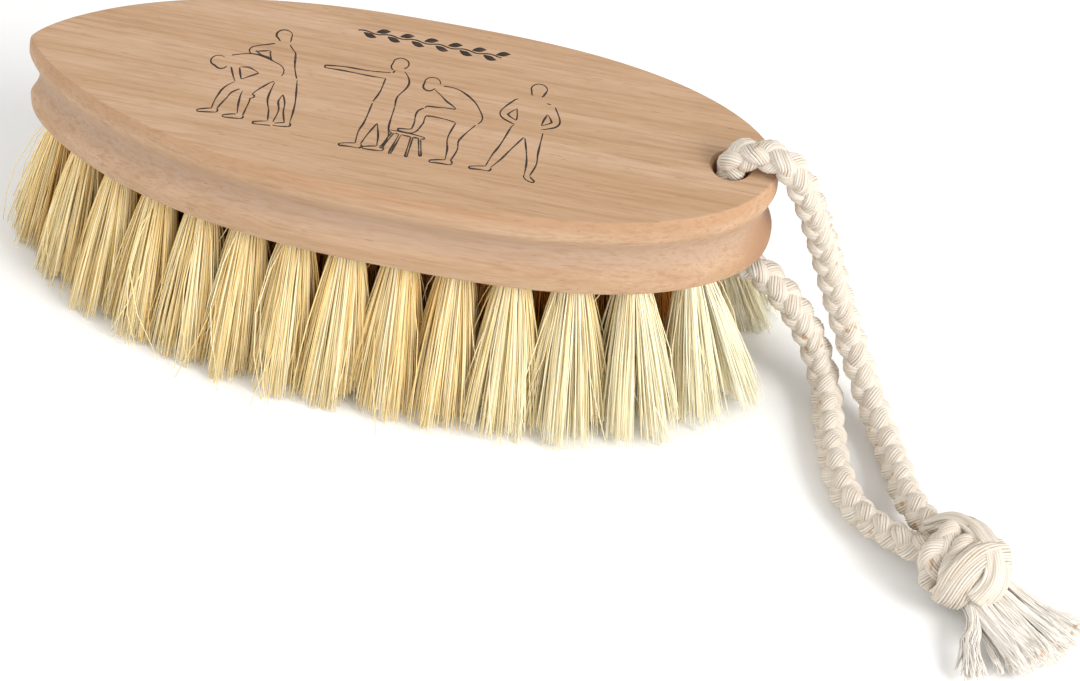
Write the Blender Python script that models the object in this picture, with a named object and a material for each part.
"""Body dry brush: a boat-shaped wooden block, fibre tufts punched in rows, and a hanging cord.

Metres, +Z up. X runs along the block, with the hanging hole near +X. The brush stands on its
trimmed fibre tips at z = 0, and the origin is below the middle of the block.
"""

import math

import bmesh
import bpy

# Block
BLOCK_LENGTH = 0.140
BLOCK_WIDTH = 0.0479
BLOCK_HEIGHT = 0.0184
NARROW_END_REACH = 0.0760  # from the widest section to the narrow end at -X
NARROW_END_POWERS = (2.58, 0.75)
BROAD_END_POWERS = (2.58, 0.53)
EDGE_ROUNDING = 0.0006
GROOVE_DEPTH = 0.0018
BEAD_SHARE = 0.3  # of the block's height, from mid height to either bead's widest line
OUTLINE_POINTS = 64

# Fibre
FIBRE_FREE_LENGTH = 0.031
TUFT_HOLE_RADIUS = 0.0031
TUFT_HOLE_DEPTH = 0.009
FIT_GAP = 0.0003
TUFT_ROOT_RADIUS = TUFT_HOLE_RADIUS - FIT_GAP
TUFT_NECK_DROP = 0.006  # below the block, where the tuft has opened out of its hole
TUFT_NECK_RADIUS = 0.0036
TUFT_TIP_RADIUS_MAX = 0.0060
TUFT_SIDES = 10
OUTER_ROW_INSETS = (0.0070, 0.0067)  # from the block's ends and from its sides
OUTER_ROW_STEPS = 13  # on each side, from the narrow end's tuft to the last one
OUTER_ROW_LAST_X = 0.0572  # leaves wood round the hanging hole
OUTER_ROW_OPENING = 1.45
INNER_ROW_INSETS = (0.0215, 0.0145)
INNER_ROW_STEPS = 10
INNER_ROW_OPENING = 1.1
CENTRE_ROW_TUFTS = 6
CENTRE_ROW_ENDS = (-0.0270, 0.0350)
LEAN_AT_NARROW_END = 0.0024
LEAN_AT_BROAD_END = 0.0060
LEAN_AT_SIDES = 0.0072

# Hanging hole and cord
HANGING_HOLE_X = 0.0612
HANGING_HOLE_RADIUS = 0.0035
CORD_RADIUS = 0.0030
CORD_POINTS = 72
CORD_SIDE_STEPS = 2
KNOT_CENTRE = (0.1143, -0.0456, 0.0073)
KNOT_HALF_SIZES = (0.0095, 0.0078, 0.0069)
KNOT_TURN = math.radians(-32)
FRAY_SIDES = 12

BLOCK_BOTTOM = FIBRE_FREE_LENGTH
BLOCK_TOP = BLOCK_BOTTOM + BLOCK_HEIGHT
WIDEST_X = NARROW_END_REACH - BLOCK_LENGTH / 2
BROAD_END_REACH = BLOCK_LENGTH - NARROW_END_REACH

# The cord's route, by hand: out of the knot, along the floor, up over the block's broad end,
# down through the hanging hole, out between the last tufts, down to the floor and to the knot.
CORD_ROUTE = (
    (0.1076, -0.0376, 0.0064),
    (0.1052, -0.0342, 0.0056),
    (0.1029, -0.0297, 0.0044),
    (0.1007, -0.0239, 0.0036),
    (0.0975, -0.0169, 0.0034),
    (0.0937, -0.0100, 0.0052),
    (0.0903, -0.0055, 0.0093),
    (0.0869, -0.0022, 0.0150),
    (0.0835, -0.0004, 0.0230),
    (0.0804, 0.0000, 0.0323),
    (0.0773, -0.0004, 0.0415),
    (0.0742, -0.0006, 0.0486),
    (0.0716, -0.0005, 0.0522),
    (0.0687, -0.0002, 0.0534),
    (0.0655, 0.0, 0.0532),
    (0.0624, 0.0, 0.0519),
    (0.0612, 0.0, 0.0489),
    (0.0612, 0.0, 0.0440),
    (0.0612, 0.0, 0.0370),
    (0.0612, 0.0, 0.0305),
    (0.0624, 0.0, 0.0275),
    (0.0652, -0.0003, 0.0262),
    (0.0685, -0.0009, 0.0256),
    (0.0712, -0.0018, 0.0240),
    (0.0755, -0.0026, 0.0200),
    (0.0800, -0.0032, 0.0132),
    (0.0828, -0.0045, 0.0075),
    (0.0851, -0.0087, 0.0040),
    (0.0870, -0.0169, 0.0033),
    (0.0895, -0.0255, 0.0033),
    (0.0932, -0.0332, 0.0034),
    (0.0975, -0.0378, 0.0040),
    (0.1010, -0.0406, 0.0050),
    (0.1042, -0.0431, 0.0060),
)


def clear_scene():
    for item in list(bpy.data.objects):
        bpy.data.objects.remove(item, do_unlink=True)


def new_collection(name):
    made = bpy.data.collections.new(name)
    bpy.context.scene.collection.children.link(made)
    return made


def new_material(name, colour, roughness):
    made = bpy.data.materials.new(name)
    made.use_nodes = True
    shader = made.node_tree.nodes["Principled BSDF"]
    shader.inputs["Base Color"].default_value = (*colour, 1.0)
    shader.inputs["Roughness"].default_value = roughness
    shader.inputs["Metallic"].default_value = 0.0
    return made


def new_object(name, mesh, material, collection):
    made = bpy.data.objects.new(name, mesh)
    made.data.materials.append(material)
    made.data.shade_smooth()
    made.data.set_sharp_from_angle(angle=math.radians(40))
    collection.objects.link(made)
    return made


def ring_loft(name, rings):
    """A closed mesh through rings of points, which all have the same number of points."""
    bm = bmesh.new()
    edges = []
    for index, ring in enumerate(rings):
        made = bmesh.ops.create_circle(
            bm, cap_ends=index in (0, len(rings) - 1), segments=len(ring), radius=1.0
        )
        for vertex, place in zip(made["verts"], ring):
            vertex.co = place
        edges.append(list({edge for vertex in made["verts"] for edge in vertex.link_edges}))
    for lower, upper in zip(edges, edges[1:]):
        bmesh.ops.bridge_loops(bm, edges=lower + upper)
    bmesh.ops.recalc_face_normals(bm, faces=bm.faces)
    mesh = bpy.data.meshes.new(name)
    bm.to_mesh(mesh)
    bm.free()
    return mesh


def outline_point(angle, end_inset, side_inset):
    """A point of the block's plan outline, drawn in by the insets; angle 0 is the broad end."""
    along = math.cos(angle)
    if along < 0:
        reach, (bulge, bluntness) = NARROW_END_REACH, NARROW_END_POWERS
    else:
        reach, (bulge, bluntness) = BROAD_END_REACH, BROAD_END_POWERS
    half_width = (BLOCK_WIDTH / 2 - side_inset) * (1 - abs(along) ** bulge) ** bluntness
    x = WIDEST_X + along * (reach - end_inset)
    return x, math.copysign(half_width, math.sin(angle))


def edge_inset(height_share):
    """How far the block's side lies inside its widest line: bead, groove, bead."""
    away = abs(height_share - 0.5)
    if away < BEAD_SHARE:
        return GROOVE_DEPTH * (1 + math.cos(math.pi * away / BEAD_SHARE)) / 2
    rise = (away - BEAD_SHARE) / (0.5 - BEAD_SHARE)
    return EDGE_ROUNDING * (1 - math.sqrt(max(0.0, 1 - rise**2)))


def block_rings():
    shares = (0, 0.02, 0.08, 0.2, 0.29, 0.38, 0.5, 0.62, 0.71, 0.8, 0.92, 0.98, 1)
    rings = []
    for share in shares:
        inset = edge_inset(share)
        ring = []
        for step in range(OUTLINE_POINTS):
            x, y = outline_point(math.tau * step / OUTLINE_POINTS, inset, inset)
            ring.append((x, y, BLOCK_BOTTOM + share * BLOCK_HEIGHT))
        rings.append(ring)
    return rings


def row_places(insets, steps, last_x, opening):
    """One side's tuft places along a row, from the narrow end's tuft to the one at last_x.

    The pitch opens evenly: the last step is opening times the first.
    """
    fineness = 1200
    curve = [outline_point(math.pi - math.pi * i / fineness, *insets) for i in range(fineness + 1)]
    curve = [place for place in curve if place[0] <= last_x]
    length = [0.0]
    for start, end in zip(curve, curve[1:]):
        length.append(length[-1] + math.dist(start, end))
    places = []
    for index in range(steps + 1):
        share = index / steps
        travelled = length[-1] * share * (2 + (opening - 1) * share) / (1 + opening)
        nearest = min(range(len(length)), key=lambda i: abs(length[i] - travelled))
        places.append(curve[nearest])
    return places


def tuft_places():
    """Every tuft's name and the place of its hole in the block's underside."""
    outer = row_places(OUTER_ROW_INSETS, OUTER_ROW_STEPS, OUTER_ROW_LAST_X, OUTER_ROW_OPENING)
    inner = row_places(INNER_ROW_INSETS, INNER_ROW_STEPS, BLOCK_LENGTH, INNER_ROW_OPENING)
    start, end = CENTRE_ROW_ENDS
    pitch = (end - start) / (CENTRE_ROW_TUFTS - 1)
    rows = {
        "outer": [(x, -y) for x, y in reversed(outer[1:])] + [(outer[0][0], 0.0)] + outer[1:],
        "inner": [(x, -y) for x, y in reversed(inner[1:-1])]
        + [(inner[0][0], 0.0)]
        + inner[1:-1]
        + [(inner[-1][0], 0.0)],
        "centre": [(start + pitch * index, 0.0) for index in range(CENTRE_ROW_TUFTS)],
    }
    return [
        (f"tuft_{row}_{number:02d}", place)
        for row, places in rows.items()
        for number, place in enumerate(places, 1)
    ]


def leaned(place, share):
    """A tuft's middle at a share of its free length: the outer tufts fan out from the block."""
    x, y = place
    if x > WIDEST_X:
        reach, end_lean = BROAD_END_REACH, LEAN_AT_BROAD_END
    else:
        reach, end_lean = NARROW_END_REACH, LEAN_AT_NARROW_END
    along = (x - WIDEST_X) / (reach - OUTER_ROW_INSETS[0])
    across = y / (BLOCK_WIDTH / 2 - OUTER_ROW_INSETS[1])
    return (
        x + share * end_lean * along * abs(along),
        y + share * LEAN_AT_SIDES * across,
    )


def spread_radius(place, places, share, most):
    """A tuft's radius at a share of its free length, short of its nearest neighbour."""
    middle = leaned(place, share)
    nearest = min(math.dist(middle, leaned(other, share)) for other in places if other != place)
    return min(most, nearest / 2 - FIT_GAP)


def circle(centre, radius, height, sides):
    x, y = centre
    return [
        (
            x + radius * math.cos(math.tau * side / sides),
            y + radius * math.sin(math.tau * side / sides),
            height,
        )
        for side in range(sides)
    ]


def build_tuft(name, place, places, material, collection):
    neck_share = TUFT_NECK_DROP / FIBRE_FREE_LENGTH
    neck_radius = spread_radius(place, places, neck_share, TUFT_NECK_RADIUS)
    tip_radius = spread_radius(place, places, 1, TUFT_TIP_RADIUS_MAX)
    root_top = BLOCK_BOTTOM + TUFT_HOLE_DEPTH - FIT_GAP
    rings = [
        circle(leaned(place, 1), tip_radius, 0.0, TUFT_SIDES),
        circle(leaned(place, neck_share), neck_radius, BLOCK_BOTTOM - TUFT_NECK_DROP, TUFT_SIDES),
        circle(place, TUFT_ROOT_RADIUS, BLOCK_BOTTOM - FIT_GAP, TUFT_SIDES),
        circle(place, TUFT_ROOT_RADIUS, root_top, TUFT_SIDES),
    ]
    new_object(name, ring_loft(name, rings), material, collection)


def round_cutter(name, radius, low, high, places, sides, collection):
    """Upright cylinders at the given places, joined in one mesh."""
    bm = bmesh.new()
    for x, y in places:
        made = bmesh.ops.create_cone(
            bm,
            cap_ends=True,
            segments=sides,
            radius1=radius / math.cos(math.pi / sides),
            radius2=radius / math.cos(math.pi / sides),
            depth=high - low,
        )
        bmesh.ops.translate(bm, verts=made["verts"], vec=(x, y, (low + high) / 2))
    mesh = bpy.data.meshes.new(name)
    bm.to_mesh(mesh)
    bm.free()
    made = bpy.data.objects.new(name, mesh)
    made.hide_render = True
    made.display_type = "WIRE"
    collection.objects.link(made)
    return made


def build_block(places, material, parts, cutters):
    block = new_object("handle_block", ring_loft("handle_block", block_rings()), material, parts)
    tuft_holes = round_cutter(
        "tuft_hole_drill",
        TUFT_HOLE_RADIUS,
        BLOCK_BOTTOM - TUFT_HOLE_DEPTH,
        BLOCK_BOTTOM + TUFT_HOLE_DEPTH,
        places,
        TUFT_SIDES,
        cutters,
    )
    hanging_hole = round_cutter(
        "hanging_hole_drill",
        HANGING_HOLE_RADIUS,
        BLOCK_BOTTOM - TUFT_HOLE_DEPTH,
        BLOCK_TOP + TUFT_HOLE_DEPTH,
        [(HANGING_HOLE_X, 0.0)],
        2 * TUFT_SIDES,
        cutters,
    )
    for cutter in (tuft_holes, hanging_hole):
        cut = block.modifiers.new(cutter.name, "BOOLEAN")
        cut.operation = "DIFFERENCE"
        cut.solver = "EXACT"
        cut.object = cutter


def smooth_route(points, count):
    """count points along a smooth curve through the given points, evenly spaced."""
    fine = []
    padded = [points[0], *points, points[-1]]
    for before, start, end, after in zip(padded, padded[1:], padded[2:], padded[3:]):
        for step in range(20):
            t = step / 20
            fine.append(
                tuple(
                    0.5
                    * (
                        2 * b
                        + (c - a) * t
                        + (2 * a - 5 * b + 4 * c - d) * t**2
                        + (3 * b - a - 3 * c + d) * t**3
                    )
                    for a, b, c, d in zip(before, start, end, after)
                )
            )
    fine.append(points[-1])
    length = [0.0]
    for start, end in zip(fine, fine[1:]):
        length.append(length[-1] + math.dist(start, end))
    route = []
    for index in range(count):
        target = length[-1] * index / (count - 1)
        found = next((i for i, value in enumerate(length) if value >= target), len(length) - 1)
        route.append(fine[found])
    return route


def build_cord(material, collection):
    """The cord as one tube, whose two ends meet the knot."""
    curve = bpy.data.curves.new("hanging_cord", "CURVE")
    curve.dimensions = "3D"
    curve.bevel_depth = CORD_RADIUS
    curve.bevel_resolution = CORD_SIDE_STEPS
    curve.use_fill_caps = True
    spline = curve.splines.new("POLY")
    route = smooth_route(CORD_ROUTE, CORD_POINTS)
    spline.points.add(len(route) - 1)
    for point, place in zip(spline.points, route):
        point.co = (*place, 1.0)
    cord = bpy.data.objects.new("hanging_cord", curve)
    cord.data.materials.append(material)
    collection.objects.link(cord)


def knot_point(along, across):
    """A plan point measured from the knot's middle, along the knot and across it."""
    turn_cos, turn_sin = math.cos(KNOT_TURN), math.sin(KNOT_TURN)
    return (
        KNOT_CENTRE[0] + along * turn_cos - across * turn_sin,
        KNOT_CENTRE[1] + along * turn_sin + across * turn_cos,
    )


def build_knot(material, collection):
    """The overhand knot that joins the cord's two ends, as its outer shape."""
    bm = bmesh.new()
    bmesh.ops.create_uvsphere(bm, u_segments=20, v_segments=12, radius=1.0)
    for vertex in bm.verts:
        along, across, rise = (share * half for share, half in zip(vertex.co, KNOT_HALF_SIZES))
        vertex.co = (*knot_point(along, across), KNOT_CENTRE[2] + rise)
    mesh = bpy.data.meshes.new("cord_knot")
    bm.to_mesh(mesh)
    bm.free()
    new_object("cord_knot", mesh, material, collection)


def build_frayed_end(name, start, turn, length, material, collection):
    """A cut end of the cord beyond the knot, opening into a flat brush of loose yarns."""
    heading = KNOT_TURN + turn
    ahead = (math.cos(heading), math.sin(heading))
    left = (-ahead[1], ahead[0])
    start_x, start_y = knot_point(*start)
    stations = (
        (0.0, CORD_RADIUS * 0.9, CORD_RADIUS * 0.9),
        (length * 0.4, CORD_RADIUS * 1.1, CORD_RADIUS * 0.8),
        (length, CORD_RADIUS * 1.7, CORD_RADIUS * 0.6),
    )
    rings = []
    for along, half_width, half_height in stations:
        ring = []
        for step in range(FRAY_SIDES):
            angle = math.tau * step / FRAY_SIDES
            across = half_width * math.cos(angle)
            ring.append(
                (
                    start_x + ahead[0] * along + left[0] * across,
                    start_y + ahead[1] * along + left[1] * across,
                    half_height * (1 + math.sin(angle)) + FIT_GAP,
                )
            )
        rings.append(ring)
    new_object(name, ring_loft(name, rings), material, collection)


def build():
    clear_scene()
    parts = new_collection("body_dry_brush")
    cutters = new_collection("cutters")
    wood = new_material("pale_hardwood", (0.62, 0.41, 0.26), 0.5)
    fibre = new_material("tampico_fibre", (0.78, 0.70, 0.48), 0.55)
    cotton = new_material("cotton_cord", (0.88, 0.85, 0.80), 0.9)

    named_places = tuft_places()
    places = [place for _, place in named_places]
    build_block(places, wood, parts, cutters)
    for name, place in named_places:
        build_tuft(name, place, places, fibre, parts)
    build_cord(cotton, parts)
    build_knot(cotton, parts)
    build_frayed_end("frayed_end_long", (0.0100, 0.0028), 0.08, 0.0165, cotton, parts)
    build_frayed_end("frayed_end_short", (0.0096, -0.0048), -0.66, 0.0135, cotton, parts)


build()
